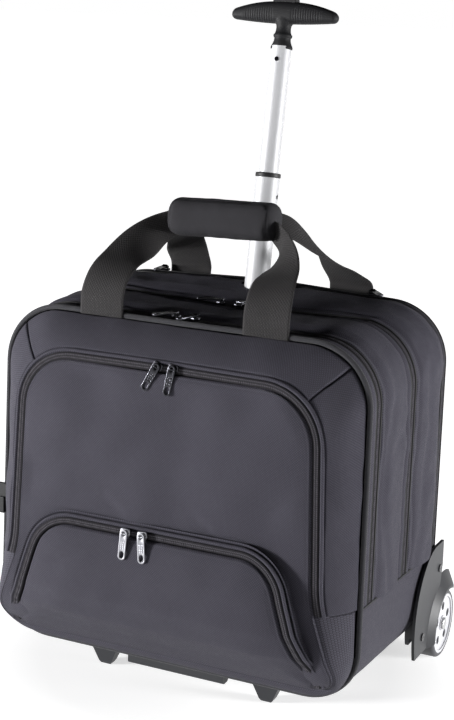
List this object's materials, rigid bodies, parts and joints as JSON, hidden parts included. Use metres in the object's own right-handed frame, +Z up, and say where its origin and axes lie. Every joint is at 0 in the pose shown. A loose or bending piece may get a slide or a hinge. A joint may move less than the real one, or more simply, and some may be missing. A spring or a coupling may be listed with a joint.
{
  "type": "rolling laptop case",
  "caption": "Soft rolling laptop case with front pockets, zips, padded carry handle, two rear wheels and a telescopic pole with a T-handle",
  "frame": {"origin": "on the floor, at the middle of the whole case's footprint", "axes": "+Z up, +X to the right seen from the front, -Y the front with the pockets, +Y the back with the wheels"},
  "size_m": [0.464, 0.356, 0.742],
  "materials": {
    "body_fabric": "fine diagonal ballistic weave, dark charcoal, matt",
    "lining": "plain woven lining, dark grey",
    "zip_fabric": "knitted zip tape with a nylon coil, dark grey",
    "webbing": "ribbed nylon webbing, near black",
    "piping": "covered piping cord, near black",
    "pull_metal": "black nickel plated, bright",
    "tube_metal": "satin anodised, silver",
    "black_plastic": "moulded, matt black",
    "grey_plastic": "moulded, dark grey, light sheen",
    "soft_grip": "soft-touch moulding, black",
    "tyre_rubber": "smooth solid tyre, black",
    "hub_metal": "bright silver",
    "spring_steel": "bright drawn wire"
  },
  "bodies": {
    "case": {"base_board": "black_plastic", "base_wrap": "body_fabric", "big_zip_tape": "zip_fabric", "button_spring": "spring_steel", "compartment_shell": "body_fabric", "divider": "lining", "front_feet": "grey_plastic", "front_panel": "lining", "front_piping": "piping", "front_straps": "webbing", "housing_screws": "pull_metal", "outer_tube": "tube_metal", "pocket_gusset": "body_fabric", "rear_shell": "body_fabric", "rear_straps": "webbing", "rear_zip_tape": "zip_fabric", "side_keeper": "black_plastic", "skid_bar": "grey_plastic", "top_bezel": "black_plastic", "tube_socket": "black_plastic", "wheel_axles": "spring_steel", "wheel_housing_l": "grey_plastic", "wheel_housing_r": "grey_plastic", "zip1_tape": "zip_fabric", "zip2_tape": "zip_fabric"},
    "tube_mid": {"mid_tube": "tube_metal", "mid_collar": "black_plastic"},
    "tube_upper": {"upper_tube": "tube_metal", "handle_pin": "pull_metal", "handle_front": "soft_grip", "handle_back": "soft_grip"},
    "button": {"release_button": "black_plastic", "push_rod": "spring_steel"},
    "lock": {"lock_pin": "spring_steel"},
    "wheel_l": {"tyre_l": "tyre_rubber", "hub_l": "hub_metal"},
    "wheel_r": {"tyre_r": "tyre_rubber", "hub_r": "hub_metal"},
    "cover": {"front_cover": "body_fabric", "lower_pocket": "body_fabric", "low_zip_tape": "zip_fabric"},
    "grip": {"carry_grip": "body_fabric"},
    "zip1_slider_l": {"zip1_slider_l": "pull_metal"},
    "zip1_pull_l": {"zip1_pull_l": "pull_metal"},
    "zip1_slider_r": {"zip1_slider_r": "pull_metal"},
    "zip1_pull_r": {"zip1_pull_r": "pull_metal"},
    "zip2_slider_l": {"zip2_slider_l": "pull_metal"},
    "zip2_pull_l": {"zip2_pull_l": "pull_metal"},
    "zip2_slider_r": {"zip2_slider_r": "pull_metal"},
    "zip2_pull_r": {"zip2_pull_r": "pull_metal"},
    "rear_slider_l": {"rear_slider_l": "pull_metal"},
    "rear_slider_r": {"rear_slider_r": "pull_metal"},
    "big_slider_l": {"big_slider_l": "pull_metal"},
    "big_pull_l": {"big_pull_l": "pull_metal"},
    "big_slider_r": {"big_slider_r": "pull_metal"},
    "big_pull_r": {"big_pull_r": "pull_metal"},
    "low_slider_l": {"low_slider_l": "pull_metal"},
    "low_pull_l": {"low_pull_l": "pull_metal"},
    "low_slider_r": {"low_slider_r": "pull_metal"},
    "low_pull_r": {"low_pull_r": "pull_metal"}
  },
  "joints": [
    {"name": "mid_tube_slide", "type": "slide", "parent": "case", "child": "tube_mid", "axis": [0, 0.1478, 0.989], "range_m": [-0.118, 0.13]},
    {"name": "upper_tube_slide", "type": "slide", "parent": "tube_mid", "child": "tube_upper", "axis": [0, 0.1478, 0.989], "range_m": [-0.123, 0.12]},
    {"name": "button_press", "type": "slide", "parent": "tube_upper", "child": "button", "axis": [0, -0.1478, -0.989], "range_m": [0, 0.004], "stiffness_N_per_m": 900, "springref_m": -0.002, "deforming": ["button_spring"]},
    {"name": "lock_pin_slide", "type": "slide", "parent": "tube_upper", "child": "lock", "axis": [-1, 0, 0], "range_m": [0, 0.002]},
    {"name": "wheel_l_spin", "type": "hinge", "parent": "case", "child": "wheel_l", "pos_m": [-0.216, 0.138, 0.04], "axis": [1, 0, 0], "continuous": true},
    {"name": "wheel_r_spin", "type": "hinge", "parent": "case", "child": "wheel_r", "pos_m": [0.216, 0.138, 0.04], "axis": [1, 0, 0], "continuous": true},
    {"name": "cover_open", "type": "hinge", "parent": "case", "child": "cover", "pos_m": [0, -0.1552, 0.0555], "axis": [1, 0, 0], "range_deg": [0, 25]},
    {"name": "grip_drop", "type": "slide", "parent": "case", "child": "grip", "axis": [0, 0, -1], "range_m": [0, 0.045], "deforming": ["front_straps", "rear_straps"]},
    {"name": "zip1_slider_l_slide", "type": "slide", "parent": "case", "child": "zip1_slider_l", "axis": [-0.9999, 0, 0.0143], "range_m": [0, 0.035]},
    {"name": "zip1_pull_l_swing", "type": "hinge", "parent": "zip1_slider_l", "child": "zip1_pull_l", "pos_m": [-0.02, -0.092, 0.4164], "axis": [-0.8499, 0.527, 0], "range_deg": [0, 80]},
    {"name": "zip1_slider_r_slide", "type": "slide", "parent": "case", "child": "zip1_slider_r", "axis": [0.9999, 0, 0.0143], "range_m": [0, 0.06]},
    {"name": "zip1_pull_r_swing", "type": "hinge", "parent": "zip1_slider_r", "child": "zip1_pull_r", "pos_m": [0.003, -0.092, 0.41616], "axis": [-0.9578, 0.2873, 0], "range_deg": [0, 80]},
    {"name": "zip2_slider_l_slide", "type": "slide", "parent": "case", "child": "zip2_slider_l", "axis": [-0.9995, 0, 0.0317], "range_m": [0, 0.105]},
    {"name": "zip2_pull_l_swing", "type": "hinge", "parent": "zip2_slider_l", "child": "zip2_pull_l", "pos_m": [-0.014, 0.007, 0.41593], "axis": [-0.3304, 0.9438, 0], "range_deg": [0, 80]},
    {"name": "zip2_slider_r_slide", "type": "slide", "parent": "case", "child": "zip2_slider_r", "axis": [0.9995, 0, 0.0317], "range_m": [0, 0.085]},
    {"name": "zip2_pull_r_swing", "type": "hinge", "parent": "zip2_slider_r", "child": "zip2_pull_r", "pos_m": [0.008, 0.007, 0.41574], "axis": [-0.1961, -0.9806, 0], "range_deg": [0, 80]},
    {"name": "rear_slider_l_slide", "type": "slide", "parent": "case", "child": "rear_slider_l", "axis": [-0.9994, 0, -0.0353], "range_m": [0, 0.012]},
    {"name": "rear_slider_r_slide", "type": "slide", "parent": "case", "child": "rear_slider_r", "axis": [0.9994, 0, -0.0353], "range_m": [0, 0.012]},
    {"name": "big_slider_l_slide", "type": "slide", "parent": "cover", "child": "big_slider_l", "axis": [-1, 0, 0], "range_m": [0, 0.09]},
    {"name": "big_pull_l_swing", "type": "hinge", "parent": "big_slider_l", "child": "big_pull_l", "pos_m": [-0.008, -0.1564, 0.3714], "axis": [-0.8944, 0, 0.4472], "range_deg": [0, 80]},
    {"name": "big_slider_r_slide", "type": "slide", "parent": "cover", "child": "big_slider_r", "axis": [1, 0, 0], "range_m": [0, 0.09]},
    {"name": "big_pull_r_swing", "type": "hinge", "parent": "big_slider_r", "child": "big_pull_r", "pos_m": [0.01, -0.1564, 0.3714], "axis": [-0.9874, 0, 0.158], "range_deg": [0, 80]},
    {"name": "low_slider_l_slide", "type": "slide", "parent": "cover", "child": "low_slider_l", "axis": [-1, 0, 0], "range_m": [0, 0.055]},
    {"name": "low_pull_l_swing", "type": "hinge", "parent": "low_slider_l", "child": "low_pull_l", "pos_m": [-0.03, -0.1742, 0.1952], "axis": [-0.9992, 0, 0.04], "range_deg": [0, 80]},
    {"name": "low_slider_r_slide", "type": "slide", "parent": "cover", "child": "low_slider_r", "axis": [1, 0, 0], "range_m": [0, 0.09]},
    {"name": "low_pull_r_swing", "type": "hinge", "parent": "low_slider_r", "child": "low_pull_r", "pos_m": [-0.01, -0.1742, 0.1952], "axis": [-0.995, 0, -0.0995], "range_deg": [0, 80]}
  ],
  "couplings": [
    {"joint": "lock_pin_slide", "follows": "button_press", "ratio": 0.5}
  ]
}
